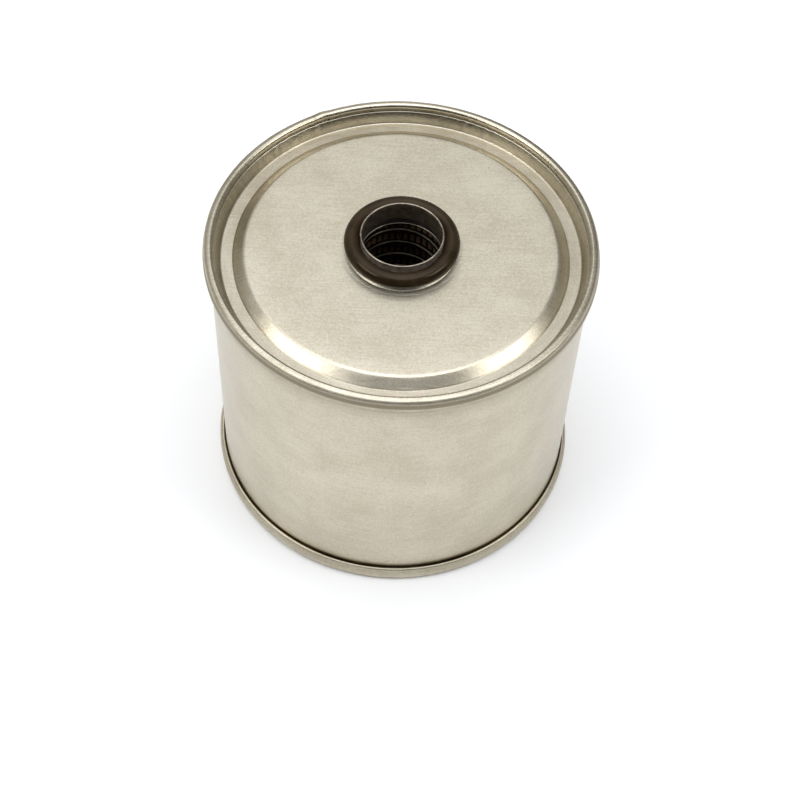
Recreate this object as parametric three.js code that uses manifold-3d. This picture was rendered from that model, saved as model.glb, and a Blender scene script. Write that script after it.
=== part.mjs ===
// Canned drop-in fuel filter cartridge for a small diesel engine.
// A double-seamed tinplate can holds a pleated paper element, which a spring presses up against the outlet neck.
// Frame: millimetres, +Z up along the can's axis towards the neck, origin at the middle of the base.

import * as THREE from "three";
import { mergeVertices } from "three/addons/utils/BufferGeometryUtils.js";
import Module from "manifold-3d";

// ---------------------------------------------------------------- driving dimensions

// Can
const CAN_HEIGHT = 77.6; // over both seams
const BODY_RADIUS = 44.5; // outside of the rolled shell
const PLATE = 0.45; // tinplate of the shell and of both ends

// Double seams
const SEAM_HEIGHT = 4.5; // crest to the folded lower edge
const FOLD_GAP = 0.05; // between two layers of plate in a seam
const CREST_FIT = 0.0325; // folded corner of the shell to the crest that curls over it
const BODY_HOOK_END = 3.0; // how far below the crest the shell's hook ends
const END_HOOK_TIP = 1.9; // how far below the crest the end plate's hook stops
const HOOK_TUCK = 0.35; // how far the seam wall pulls in below the shell's hook

// Pressed end plates, depths measured from the seam's crest to the visible face
const CHUCK_LEAN = 1.675; // how far the chuck wall leans inwards down to the groove's floor
const GROOVE_WIDTH = 2.9; // of the groove's flat floor
const GROOVE_DEPTH = 4.6;
const BEVEL_WIDTH = 2.7; // from the groove's floor up to the flat panel
const PANEL_DEPTH = 2.65;

// Outlet neck, its seat on the top end and its O-ring
const NECK_RADIUS = 9.7; // outside of the tube
const NECK_WALL = 0.5;
const NECK_RISE = 2.4; // rim above the top seam's crest
const NECK_BEND = 0.2; // inside radius of the bend into the flange
const SEAT_RISE = 0.5; // height of the raised seat above the panel
const SEAT_MARGIN = 1.0; // where the O-ring touches the raised seat to the edge of its flat
const SEAT_SLOPE = 1.7; // radial length of the slope down to the panel
const FLANGE_FIT = 0.6; // neck's flange to the edge of the seat it lies under
const SEAL_SECTION = 3.7; // thickness of the O-ring
const SEAL_FIT = 0.05; // O-ring to neck and to seat
const NECK_HOLE_FIT = 0.1; // hole in the top end round the neck's bend
const PRESS_GAP = 0.05; // between pieces pressed together along the axis

// Filter element
const GASKET_THICKNESS = 1.5;
const GASKET_WIDTH = 4.2;
const ELEMENT_CLEARANCE = 6.05; // discs to the inside of the shell
const DISC_PLATE = 0.4;
const DISC_SKIRT = 2.1; // height of the turned-down rim
const DISC_HOLE_STEP = 0.3; // hole in the top disc, wider than the inside of the coil
const DIMPLE_DEPTH = 0.4; // of the bottom disc's middle, which the spring fits round
const POTTING_THICKNESS = 1.6;
const POTTING_FIT = 0.3; // potting to skirt, to coil and to pleats
const COIL_NECK_STEP = 0.4; // inside of the coil, narrower than the outside of the neck
const COIL_WIRE = 1.3;
const COIL_PITCH = 4.4;
const COIL_END_FIT = 0.3; // coil ends to the discs
const PLEATS = 44;
const PAPER = 0.5;
const PAPER_DISC_STEP = 1.6; // middle of the paper at the outer folds, narrower than the discs
const PAPER_COIL_FIT = 0.35; // inner folds to the coil
const OUTER_FOLD = 1.2; // between the middles of the two leaves at an outer fold
const INNER_FOLD_SHARE = 0.48; // share of the pitch that an inner fold takes up
const CLIP_PLATE = 0.35;
const CLIP_FIT = 0.12; // clip to the pleat that it holds
const CLIP_DEPTH = 5; // radial length of the clip's legs
const CLIP_PLEAT = 12; // which pleat the clip closes

// Spring below the element
const SPRING_SPACE = 11.75; // between the bottom end and the bottom disc
const SPRING_RADIUS = 11; // middle of the wire
const SPRING_WIRE = 1.8;
const SPRING_DEAD_TURNS = 0.9; // closed turns at each end
const SPRING_ACTIVE_TURNS = 1.6;
const SPRING_CLOSED_GAP = 0.15; // between a closed turn and the next
const BOSS_FIT = 0.8; // spring to the boss and to the dimple that centre it
const BOSS_RISE = 1.6;
const BOSS_SLOPE = 0.8; // radial length of the boss's and the dimple's slopes

// Inlet holes in the bottom end
const INLET_HOLES = 8;
const INLET_HOLE_RADIUS = 4;
const INLET_BEVEL_STEP = 10.5; // middles of the holes to the bevel's top edge

// Fineness of the round shapes
const CAN_SEGMENTS = 40;
const NECK_SEGMENTS = 32;
const HOLE_SEGMENTS = 12;
const FOLD_PIECES = 2;
const CREST_PIECES = 4;
const SEAL_SIDES = 12; // a multiple of 4, so that a flat faces the neck and another the seat
const COIL_STEPS_PER_TURN = 12;
const COIL_SIDES = 5;
const SPRING_STEPS_PER_TURN = 14;
const SPRING_SIDES = 6;
const CURVE_DIVISIONS = 1200; // along a coil, to space its steps evenly
const AXIS_TOLERANCE = 1e-9; // a point nearer to the axis than this lies on it
const MERGE_TOLERANCE = 1e-4; // corners nearer than this are one

// ---------------------------------------------------------------- sizes that follow from them

const BODY_INNER = BODY_RADIUS - PLATE;
const END_HOOK_RADIUS = BODY_RADIUS + FOLD_GAP + PLATE / 2;
const BODY_HOOK_RADIUS = END_HOOK_RADIUS + PLATE + FOLD_GAP;
const SEAM_WALL_RADIUS = BODY_HOOK_RADIUS + PLATE + FOLD_GAP;
const CHUCK_WALL_RADIUS = BODY_INNER - FOLD_GAP - PLATE / 2;
const CREST_RADIUS = (SEAM_WALL_RADIUS - CHUCK_WALL_RADIUS) / 2;
const CREST_CENTRE = (SEAM_WALL_RADIUS + CHUCK_WALL_RADIUS) / 2;
const CREST_DEPTH = CREST_RADIUS + PLATE / 2;
const CREST_TO_FOLD_EDGE = BODY_HOOK_RADIUS + PLATE / 2 - CREST_CENTRE;
const BODY_FOLD_TOP = CREST_DEPTH + CREST_TO_FOLD_EDGE - Math.SQRT2 * (CREST_RADIUS - PLATE / 2 - CREST_FIT);
const BODY_FOLD_DEPTH = BODY_FOLD_TOP + PLATE / 2;
const COMPOUND = BODY_FOLD_TOP - PLATE - 2 * FOLD_GAP; // thickness of the lining compound under the crest
const TUCK_START = BODY_HOOK_END + PLATE / 4; // the seam wall turns in below this
const GROOVE_OUTER = CHUCK_WALL_RADIUS - CHUCK_LEAN;
const GROOVE_INNER = GROOVE_OUTER - GROOVE_WIDTH;
const BEVEL_TOP = GROOVE_INNER - BEVEL_WIDTH;

const NECK_MIDDLE = NECK_RADIUS - NECK_WALL / 2;
const NECK_TOP = CAN_HEIGHT + NECK_RISE;
const SEAT_RADIUS = NECK_RADIUS + SEAL_FIT + SEAL_SECTION / 2 + SEAT_MARGIN;
const NECK_FLANGE_RADIUS = SEAT_RADIUS - FLANGE_FIT;
const PANEL_TOP = CAN_HEIGHT - PANEL_DEPTH;
const SEAT_TOP = PANEL_TOP + SEAT_RISE;
const FLANGE_TOP = SEAT_TOP - PLATE - PRESS_GAP;
const GASKET_TOP = FLANGE_TOP - NECK_WALL - PRESS_GAP;

const BOTTOM_PANEL_TOP = PANEL_DEPTH + PLATE;
const ELEMENT_TOP = GASKET_TOP - GASKET_THICKNESS - PRESS_GAP;
const ELEMENT_BOTTOM = BOTTOM_PANEL_TOP + SPRING_SPACE;
const DISC_RADIUS = BODY_INNER - ELEMENT_CLEARANCE;
const COIL_INNER_RADIUS = NECK_RADIUS - COIL_NECK_STEP;
const DISC_HOLE_RADIUS = COIL_INNER_RADIUS + DISC_HOLE_STEP;
const COIL_RADIUS = COIL_INNER_RADIUS + COIL_WIRE / 2;
const COIL_OUTER = COIL_INNER_RADIUS + COIL_WIRE;
const COIL_TOP = ELEMENT_TOP - DISC_PLATE - COIL_END_FIT;
const COIL_BOTTOM = ELEMENT_BOTTOM + DISC_PLATE + COIL_END_FIT;
const PAPER_INNER = COIL_OUTER + PAPER_COIL_FIT + PAPER / 2;
const PAPER_OUTER = DISC_RADIUS - PAPER_DISC_STEP;
const POTTING_TOP = ELEMENT_TOP - DISC_PLATE - PRESS_GAP;
const POTTING_BOTTOM = ELEMENT_BOTTOM + DISC_PLATE + PRESS_GAP;
const MEDIA_TOP = POTTING_TOP - POTTING_THICKNESS - PRESS_GAP;
const MEDIA_BOTTOM = POTTING_BOTTOM + POTTING_THICKNESS + PRESS_GAP;

const BOSS_RADIUS = SPRING_RADIUS - SPRING_WIRE / 2 - BOSS_FIT;
const INLET_CIRCLE_RADIUS = BEVEL_TOP - INLET_BEVEL_STEP;
const INLET_DRILL_LENGTH = 4 * PANEL_DEPTH;

// ---------------------------------------------------------------- materials

const metal = (color, roughness) => new THREE.MeshStandardMaterial({ color, roughness, metalness: 1 });
const plain = (color, roughness) => new THREE.MeshStandardMaterial({ color, roughness, metalness: 0 });
const TINPLATE = metal(0xcfc9b8, 0.38);
const WIRE = metal(0x9a9890, 0.35);
const SPRING_STEEL = metal(0x7d7a74, 0.4);
const RUBBER = plain(0x17130f, 0.3);
const COMPOUND_RUBBER = plain(0x6f6d68, 0.7);
const PAPER_BROWN = plain(0x9a5a34, 0.85);
const POTTING_RESIN = plain(0xb8863b, 0.55);

// ---------------------------------------------------------------- shape helpers

const point = (x, y) => new THREE.Vector2(x, y);

// The unit normal to the left of the way from a to b.
function leftNormal(a, b) {
  const along = b.clone().sub(a).normalize();
  return point(-along.y, along.x);
}

// A line of points moved sideways, to the left where distance is positive, with mitred corners.
function offsetLine(points, distance, closed = false) {
  const count = points.length;
  return points.map((p, i) => {
    const before = closed || i > 0 ? points[(i + count - 1) % count] : null;
    const after = closed || i < count - 1 ? points[(i + 1) % count] : null;
    const n1 = leftNormal(before ?? p, before ? p : after);
    const n2 = leftNormal(after ? p : before, after ?? p);
    const mitre = n1.clone().add(n2).normalize();
    return p.clone().addScaledVector(mitre, distance / mitre.dot(n1));
  });
}

// The closed outline of a sheet of even thickness bent along a line.
function sheetOutline(middle, thickness) {
  const left = offsetLine(middle, thickness / 2);
  const right = offsetLine(middle, -thickness / 2);
  return [...left, ...right.reverse()];
}

// Corners of a bend whose flats touch an arc, the first and the last flat being the straights it joins.
// Angles are in degrees from the +r direction towards +z, and count the directions that the flats face.
function bend(centreR, centreZ, radius, from, to, pieces) {
  const step = THREE.MathUtils.degToRad((to - from) / pieces);
  const reach = radius / Math.cos(step / 2);
  return Array.from({ length: pieces }, (_, i) => {
    const angle = THREE.MathUtils.degToRad(from) + step * (i + 0.5);
    return point(centreR + reach * Math.cos(angle), centreZ + reach * Math.sin(angle));
  });
}

// Corners of a whole circle whose flats touch it, one of them facing straight down.
function circle(centreR, centreZ, radius, sides) {
  return bend(centreR, centreZ, radius, -90, 270, sides);
}

// A solid turned round the Z axis from an outline in (radius, height).
function turned(outline, segments) {
  const counterclockwise = THREE.ShapeUtils.isClockWise(outline) ? [...outline].reverse() : outline;
  const onAxis = (p) => Math.abs(p.x) < AXIS_TOLERANCE;
  const first = counterclockwise.findIndex(
    (p, i) => onAxis(p) && !onAxis(counterclockwise[(i + 1) % counterclockwise.length]),
  );
  const start = Math.max(first, 0);
  const profile = [...counterclockwise.slice(start), ...counterclockwise.slice(0, start)];
  if (first < 0) profile.push(profile[0].clone());
  return new THREE.LatheGeometry(profile, segments).rotateX(Math.PI / 2);
}

// A flat ring with a rectangular section.
function ring(inner, outer, bottom, top, segments) {
  return turned([point(inner, bottom), point(outer, bottom), point(outer, top), point(inner, top)], segments);
}

// A right-hand coil; height gives the middle of the wire after a number of turns.
class Coil extends THREE.Curve {
  constructor(radius, turns, height) {
    super();
    Object.assign(this, { radius, turns, height });
    this.arcLengthDivisions = CURVE_DIVISIONS;
  }
  getPoint(t, target = new THREE.Vector3()) {
    const angle = 2 * Math.PI * this.turns * t;
    const z = this.height(this.turns * t);
    return target.set(this.radius * Math.cos(angle), this.radius * Math.sin(angle), z);
  }
}

// A round wire bent along a curve.
function wire(curve, diameter, sides, steps) {
  const section = new THREE.Shape(circle(0, 0, diameter / 2, sides));
  return new THREE.ExtrudeGeometry(section, { steps, extrudePath: curve, bevelEnabled: false });
}

// ---------------------------------------------------------------- cutting

const wasm = await Module();
wasm.setup();

function toSolid(geometry) {
  const bare = geometry.index ? geometry.toNonIndexed() : geometry.clone();
  bare.deleteAttribute("normal");
  bare.deleteAttribute("uv");
  const merged = mergeVertices(bare, MERGE_TOLERANCE);
  return new wasm.Manifold(
    new wasm.Mesh({
      numProp: 3,
      vertProperties: merged.attributes.position.array,
      triVerts: new Uint32Array(merged.index.array),
    }),
  );
}

function toGeometry(solid) {
  const mesh = solid.getMesh();
  const geometry = new THREE.BufferGeometry();
  geometry.setAttribute("position", new THREE.BufferAttribute(new Float32Array(mesh.vertProperties), 3));
  geometry.setIndex(new THREE.BufferAttribute(new Uint32Array(mesh.triVerts), 1));
  geometry.computeVertexNormals();
  return geometry;
}

function cut(geometry, tools) {
  const solid = tools.reduce((rest, tool) => rest.subtract(toSolid(tool)), toSolid(geometry));
  return toGeometry(solid);
}

// ---------------------------------------------------------------- can

// The middle line of an end plate from its hook, over the crest, down to the edge of the panel.
// It is written as (radius, depth below the crest) and placed by the top or the bottom end.
function seamedEdge() {
  const foldRadius = (SEAM_WALL_RADIUS - HOOK_TUCK - END_HOOK_RADIUS) / 2;
  const foldCentre = END_HOOK_RADIUS + foldRadius;
  const foldDepth = SEAM_HEIGHT - foldRadius - PLATE / 2;
  const half = PLATE / 2;
  return [
    point(END_HOOK_RADIUS, END_HOOK_TIP),
    ...bend(foldCentre, foldDepth, foldRadius, 180, 0, FOLD_PIECES),
    point(SEAM_WALL_RADIUS, TUCK_START),
    ...bend(CREST_CENTRE, CREST_DEPTH, CREST_RADIUS, 0, -180, CREST_PIECES),
    point(GROOVE_OUTER, GROOVE_DEPTH + half),
    point(GROOVE_INNER, GROOVE_DEPTH + half),
    point(BEVEL_TOP, PANEL_DEPTH + half),
  ];
}

// The shell, hooked outwards and down into the seam at its top, and the same at its bottom.
function canBody() {
  const shellMiddle = BODY_INNER + PLATE / 2;
  const foldRadius = (BODY_HOOK_RADIUS - shellMiddle) / 2;
  const hook = [
    ...bend(shellMiddle + foldRadius, BODY_FOLD_DEPTH + foldRadius, foldRadius, -180, 0, FOLD_PIECES),
    point(BODY_HOOK_RADIUS, BODY_HOOK_END),
  ];
  const top = hook.map((p) => point(p.x, CAN_HEIGHT - p.y));
  const bottom = [...hook].reverse();
  return turned(sheetOutline([...bottom, ...top], PLATE), CAN_SEGMENTS);
}

// The lining compound that fills the hollow between the crest and the shell's fold.
function seamCompound(crestZ, inward) {
  const near = crestZ + inward * (PLATE + FOLD_GAP);
  const far = near + inward * COMPOUND;
  const reach = CREST_RADIUS - PLATE / 2 - FOLD_GAP;
  const narrow = reach * Math.tan(Math.PI / CREST_PIECES / 2);
  const wide = reach * Math.cos(Math.PI / 4);
  const outline = [
    point(CREST_CENTRE - narrow, near),
    point(CREST_CENTRE + narrow, near),
    point(CREST_CENTRE + wide, far),
    point(CREST_CENTRE - wide, far),
  ];
  return turned(outline, CAN_SEGMENTS);
}

function topEnd() {
  const half = PLATE / 2;
  const middle = [
    ...seamedEdge().map((p) => point(p.x, CAN_HEIGHT - p.y)),
    point(SEAT_RADIUS + SEAT_SLOPE, PANEL_TOP - half),
    point(SEAT_RADIUS, SEAT_TOP - half),
    point(NECK_RADIUS + NECK_BEND + NECK_HOLE_FIT, SEAT_TOP - half),
  ];
  return turned(sheetOutline(middle, PLATE), CAN_SEGMENTS);
}

function bottomEnd() {
  const panel = PANEL_DEPTH + PLATE / 2;
  const middle = [
    ...seamedEdge(),
    point(BOSS_RADIUS + BOSS_SLOPE / 2, panel),
    point(BOSS_RADIUS - BOSS_SLOPE / 2, panel + BOSS_RISE),
    point(0, panel + BOSS_RISE),
  ];
  const plate = turned(sheetOutline(middle, PLATE), CAN_SEGMENTS);
  const drills = Array.from({ length: INLET_HOLES }, (_, i) => {
    const angle = ((i + 0.5) * 2 * Math.PI) / INLET_HOLES;
    return new THREE.CylinderGeometry(INLET_HOLE_RADIUS, INLET_HOLE_RADIUS, INLET_DRILL_LENGTH, HOLE_SEGMENTS)
      .rotateX(Math.PI / 2)
      .translate(INLET_CIRCLE_RADIUS * Math.cos(angle), INLET_CIRCLE_RADIUS * Math.sin(angle), PANEL_DEPTH);
  });
  return cut(plate, drills);
}

// ---------------------------------------------------------------- neck and seals

function outletNeck() {
  const flangeMiddle = FLANGE_TOP - NECK_WALL / 2;
  const radius = NECK_BEND + NECK_WALL / 2;
  const middle = [
    point(NECK_FLANGE_RADIUS, flangeMiddle),
    ...bend(NECK_MIDDLE + radius, flangeMiddle + radius, radius, 270, 180, FOLD_PIECES),
    point(NECK_MIDDLE, NECK_TOP),
  ];
  return turned(sheetOutline(middle, NECK_WALL), NECK_SEGMENTS);
}

function neckSeal() {
  const radius = SEAL_SECTION / 2;
  const centre = NECK_RADIUS + SEAL_FIT + radius;
  return turned(circle(centre, SEAT_TOP + SEAL_FIT + radius, radius, SEAL_SIDES), NECK_SEGMENTS);
}

function neckGasket() {
  const inner = DISC_HOLE_RADIUS + PRESS_GAP;
  return ring(inner, inner + GASKET_WIDTH, GASKET_TOP - GASKET_THICKNESS, GASKET_TOP, NECK_SEGMENTS);
}

// ---------------------------------------------------------------- element

// A pressed disc with a turned-down rim; inner is the radius of its bore, or 0 for a closed disc.
function endDisc(faceZ, inward, inner) {
  const middleZ = faceZ + (inward * DISC_PLATE) / 2;
  const rim = DISC_RADIUS - DISC_PLATE / 2;
  const centre = inner > 0
    ? [point(inner, middleZ)]
    : [
        point(BOSS_RADIUS + BOSS_SLOPE / 2, middleZ),
        point(BOSS_RADIUS - BOSS_SLOPE / 2, middleZ - inward * DIMPLE_DEPTH),
        point(0, middleZ - inward * DIMPLE_DEPTH),
      ];
  const middle = [point(rim, faceZ + inward * DISC_SKIRT), point(rim, middleZ), ...centre];
  return turned(sheetOutline(middle, DISC_PLATE), CAN_SEGMENTS);
}

function potting(bottom) {
  const inner = COIL_OUTER + POTTING_FIT;
  const outer = DISC_RADIUS - DISC_PLATE - POTTING_FIT;
  return ring(inner, outer, bottom, bottom + POTTING_THICKNESS, CAN_SEGMENTS);
}

// The middle line of the pleated paper: four corners for each pleat, round the whole circle.
function pleatLine() {
  const pitch = (2 * Math.PI) / PLEATS;
  const outerHalf = OUTER_FOLD / 2 / PAPER_OUTER;
  const innerHalf = (pitch * INNER_FOLD_SHARE) / 2;
  const polar = (radius, angle) => point(radius * Math.cos(angle), radius * Math.sin(angle));
  return Array.from({ length: PLEATS }, (_, i) => {
    const axis = i * pitch;
    return [
      polar(PAPER_OUTER, axis - outerHalf),
      polar(PAPER_OUTER, axis + outerHalf),
      polar(PAPER_INNER, axis + pitch / 2 - innerHalf),
      polar(PAPER_INNER, axis + pitch / 2 + innerHalf),
    ];
  }).flat();
}

function filterMedia() {
  const line = pleatLine();
  const outline = new THREE.Shape(offsetLine(line, -PAPER / 2, true));
  outline.holes.push(new THREE.Path(offsetLine(line, PAPER / 2, true)));
  const depth = MEDIA_TOP - MEDIA_BOTTOM;
  return new THREE.ExtrudeGeometry(outline, { depth, bevelEnabled: false }).translate(0, 0, MEDIA_BOTTOM);
}

// A channel pressed over one outer fold, as long as the paper is high.
function mediaSeamClip() {
  const inside = OUTER_FOLD / 2 + PAPER / 2 + CLIP_FIT;
  const side = inside + CLIP_PLATE / 2;
  const back = PAPER_OUTER + PAPER / 2 + CLIP_FIT + CLIP_PLATE / 2;
  const legs = back - CLIP_DEPTH;
  const middle = [point(legs, -side), point(back, -side), point(back, side), point(legs, side)];
  const outline = new THREE.Shape(sheetOutline(middle, CLIP_PLATE));
  const depth = MEDIA_TOP - MEDIA_BOTTOM;
  return new THREE.ExtrudeGeometry(outline, { depth, bevelEnabled: false })
    .translate(0, 0, MEDIA_BOTTOM)
    .rotateZ((CLIP_PLEAT * 2 * Math.PI) / PLEATS);
}

function supportCoil() {
  const lowest = COIL_BOTTOM + COIL_WIRE / 2;
  const highest = COIL_TOP - COIL_WIRE / 2;
  const turns = (highest - lowest) / COIL_PITCH;
  const curve = new Coil(COIL_RADIUS, turns, (turn) => lowest + COIL_PITCH * turn);
  return wire(curve, COIL_WIRE, COIL_SIDES, Math.round(turns * COIL_STEPS_PER_TURN));
}

function elementSpring() {
  const lowest = BOTTOM_PANEL_TOP + PRESS_GAP + SPRING_WIRE / 2;
  const highest = ELEMENT_BOTTOM - PRESS_GAP - SPRING_WIRE / 2;
  const deadPitch = SPRING_WIRE + SPRING_CLOSED_GAP;
  const deadRise = SPRING_DEAD_TURNS * deadPitch;
  const activePitch = (highest - lowest - 2 * deadRise) / SPRING_ACTIVE_TURNS;
  const turns = 2 * SPRING_DEAD_TURNS + SPRING_ACTIVE_TURNS;
  const height = (turn) => {
    const active = Math.min(Math.max(turn - SPRING_DEAD_TURNS, 0), SPRING_ACTIVE_TURNS);
    return lowest + active * activePitch + (turn - active) * deadPitch;
  };
  const curve = new Coil(SPRING_RADIUS, turns, height);
  return wire(curve, SPRING_WIRE, SPRING_SIDES, Math.round(turns * SPRING_STEPS_PER_TURN));
}

// ---------------------------------------------------------------- assembly

function piece(name, geometry, material) {
  const mesh = new THREE.Mesh(geometry, material);
  mesh.name = name;
  return mesh;
}

const can = new THREE.Group();
can.add(
  piece("can_body", canBody(), TINPLATE),
  piece("top_end", topEnd(), TINPLATE),
  piece("bottom_end", bottomEnd(), TINPLATE),
  piece("top_seam_compound", seamCompound(CAN_HEIGHT, -1), COMPOUND_RUBBER),
  piece("bottom_seam_compound", seamCompound(0, 1), COMPOUND_RUBBER),
  piece("outlet_neck", outletNeck(), TINPLATE),
  piece("neck_seal", neckSeal(), RUBBER),
  piece("element_spring", elementSpring(), SPRING_STEEL),
);

const element = new THREE.Group();
element.add(
  piece("neck_gasket", neckGasket(), RUBBER),
  piece("top_end_disc", endDisc(ELEMENT_TOP, -1, DISC_HOLE_RADIUS), TINPLATE),
  piece("top_potting", potting(POTTING_TOP - POTTING_THICKNESS), POTTING_RESIN),
  piece("filter_media", filterMedia(), PAPER_BROWN),
  piece("media_seam_clip", mediaSeamClip(), TINPLATE),
  piece("support_coil", supportCoil(), WIRE),
  piece("bottom_potting", potting(POTTING_BOTTOM), POTTING_RESIN),
  piece("bottom_end_disc", endDisc(ELEMENT_BOTTOM, 1, 0), TINPLATE),
);

const filter = new THREE.Group();
filter.add(can, element);

export default filter;
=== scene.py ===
# The fuel filter cartridge's looks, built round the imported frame. Metres, +Z up, the base on z = 0.
import math

import bpy
import bmesh
import numpy as np
from mathutils import Matrix, Vector


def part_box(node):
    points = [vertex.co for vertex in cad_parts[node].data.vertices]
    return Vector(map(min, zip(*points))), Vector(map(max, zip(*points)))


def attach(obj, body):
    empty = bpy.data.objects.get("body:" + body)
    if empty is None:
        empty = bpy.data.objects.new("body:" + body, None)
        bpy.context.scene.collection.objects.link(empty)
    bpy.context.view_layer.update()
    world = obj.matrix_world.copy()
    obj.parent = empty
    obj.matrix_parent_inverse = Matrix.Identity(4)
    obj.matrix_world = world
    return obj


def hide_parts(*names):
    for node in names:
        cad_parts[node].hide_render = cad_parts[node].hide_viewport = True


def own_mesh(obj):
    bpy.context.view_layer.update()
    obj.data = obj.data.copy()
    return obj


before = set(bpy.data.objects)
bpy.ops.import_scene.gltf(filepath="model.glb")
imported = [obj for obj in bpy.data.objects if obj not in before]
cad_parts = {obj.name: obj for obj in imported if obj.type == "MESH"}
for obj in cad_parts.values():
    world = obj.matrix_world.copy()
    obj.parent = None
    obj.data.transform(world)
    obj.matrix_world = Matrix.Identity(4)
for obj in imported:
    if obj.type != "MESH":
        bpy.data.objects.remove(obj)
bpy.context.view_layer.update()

# ------------------------------------------------------------------ sizes

MM = 0.001
PLATE = 0.45 * MM
FOLD_GAP = 0.05 * MM
TOP_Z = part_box("top_end")[1].z
CAN_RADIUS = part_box("top_end")[1].x
BODY_RADIUS = CAN_RADIUS - 3 * (PLATE + FOLD_GAP)
SEAM_HEIGHT = 4.5 * MM
SEAM_TUCK = 0.35 * MM
HOOK_END = 3.0 * MM
GROOVE_DEPTH = 4.6 * MM
GROOVE_OUTER = 42.1 * MM
GROOVE_INNER = 39.2 * MM
BEVEL_TOP = 36.5 * MM
PANEL_DEPTH = 2.65 * MM
PANEL_Z = TOP_Z - PANEL_DEPTH
SEAT_RISE = 0.5 * MM
SEAT_RADIUS = 12.6 * MM
NECK_LOW, NECK_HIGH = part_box("outlet_neck")
NECK_TOP = NECK_HIGH.z
NECK_RADIUS = 9.7 * MM
NECK_WALL = 0.5 * MM
LAP_ANGLE = math.radians(118)  # where the shell's side weld meets the seams, from +X towards +Y
SEGMENTS = 576
END_HOOK_TIP = 1.9 * MM  # below the crest
COMPOUND_THICKNESS = 0.35 * MM
CHUCK_MIDDLE = 43.1 * MM  # radius of the middle of the chuck wall
PANEL_JOIN = BEVEL_TOP - 3 * MM  # radius where the outline of the seam meets that of the panel
PLATE_STEP = 1.2 * MM  # longest step along the outline of an end plate
INLET_HOLES = 8
INLET_RADIUS = 4 * MM
INLET_CIRCLE = 26 * MM
DRILL_HEIGHT = 8 * MM
BOSS_RADIUS = 9.3 * MM
BOSS_RISE = 1.6 * MM
BOSS_SLOPE = 0.8 * MM
SEAL_FIT = 0.05 * MM
DISC_PLATE = 0.4 * MM
DISC_SKIRT = 2.1 * MM
DISC_HOLE = 9.6 * MM
DIMPLE_DEPTH = 0.4 * MM
DISC_CORNER = 0.7 * MM
GASKET_INNER = 9.65 * MM
GASKET_OUTER = 13.85 * MM
POTTING_INNER = 10.95 * MM
PLEATS = 44
PAPER = 0.5 * MM
PAPER_OUTER = 36.4 * MM
PAPER_INNER = 11.2 * MM
CLIP_PLEAT = 12  # which pleat the clip closes
COIL_RADIUS = 9.95 * MM  # middle of the wire
COIL_PITCH = 4.4 * MM
SPRING_RADIUS = 11 * MM  # middle of the wire
SPRING_CLOSED_PITCH = 1.95 * MM

# ------------------------------------------------------------------ outlines in (radius, height)


def fillet(points, steps=6):
    """A line of (x, y, corner radius) with each corner rounded to its radius."""
    out = []
    for i, (x, y, radius) in enumerate(points):
        here = Vector((x, y))
        if radius <= 0 or i in (0, len(points) - 1):
            out.append(here)
            continue
        back = Vector(points[i - 1][:2]) - here
        ahead = Vector(points[i + 1][:2]) - here
        half = back.angle(ahead) / 2
        reach = min(radius / math.tan(half), 0.49 * back.length, 0.49 * ahead.length)
        start, end = here + back.normalized() * reach, here + ahead.normalized() * reach
        centre = here + (back.normalized() + ahead.normalized()).normalized() * (reach / math.cos(half))
        a, b = start - centre, end - centre
        sweep = a.angle_signed(b)
        for k in range(steps + 1):
            turn = -sweep * k / steps
            cos, sin = math.cos(turn), math.sin(turn)
            out.append(centre + Vector((a.x * cos - a.y * sin, a.x * sin + a.y * cos)))
    return out


def arc(cx, cy, radius, start, end, steps):
    angles = [math.radians(start + (end - start) * k / steps) for k in range(steps + 1)]
    return [Vector((cx + radius * math.cos(a), cy + radius * math.sin(a))) for a in angles]


def even(points, step):
    """The same line with points no further apart than step."""
    out = [points[0]]
    for p in points[1:]:
        length = (p - out[-1]).length
        if length < 1e-9:
            continue
        count = max(1, math.ceil(length / step))
        start = out[-1]
        out += [start.lerp(p, (k + 1) / count) for k in range(count)]
    return out


def offset(points, distance, closed=False):
    """The line moved to its left by distance."""
    p = np.array([tuple(v) for v in points])
    before, after = np.roll(p, 1, 0), np.roll(p, -1, 0)
    if not closed:
        before[0], after[-1] = p[0], p[-1]
    along_in, along_out = p - before, after - p
    if not closed:
        along_in[0], along_out[-1] = along_out[0], along_in[-1]
    along_in /= np.linalg.norm(along_in, axis=1)[:, None]
    along_out /= np.linalg.norm(along_out, axis=1)[:, None]
    n_in = np.stack([-along_in[:, 1], along_in[:, 0]], 1)
    n_out = np.stack([-along_out[:, 1], along_out[:, 0]], 1)
    mitre = n_in + n_out
    mitre /= np.linalg.norm(mitre, axis=1)[:, None]
    moved = p + mitre * (distance / np.sum(mitre * n_in, 1))[:, None]
    return [Vector(v) for v in moved]


def sheet(middle, thickness, cap_steps=4):
    """The closed outline of sheet metal whose middle follows a line, with rounded cut edges."""
    half = thickness / 2
    left, right = offset(middle, half), offset(middle, -half)
    caps = []
    for tip, inner in ((middle[-1], middle[-2]), (middle[0], middle[1])):
        along = (tip - inner).normalized()
        start = math.atan2(along.y, along.x) + math.pi / 2
        turns = [start - math.pi * k / cap_steps for k in range(1, cap_steps)]
        caps.append([tip + half * Vector((math.cos(t), math.sin(t))) for t in turns])
    return left + caps[0] + right[::-1] + caps[1]


# ------------------------------------------------------------------ meshes


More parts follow.
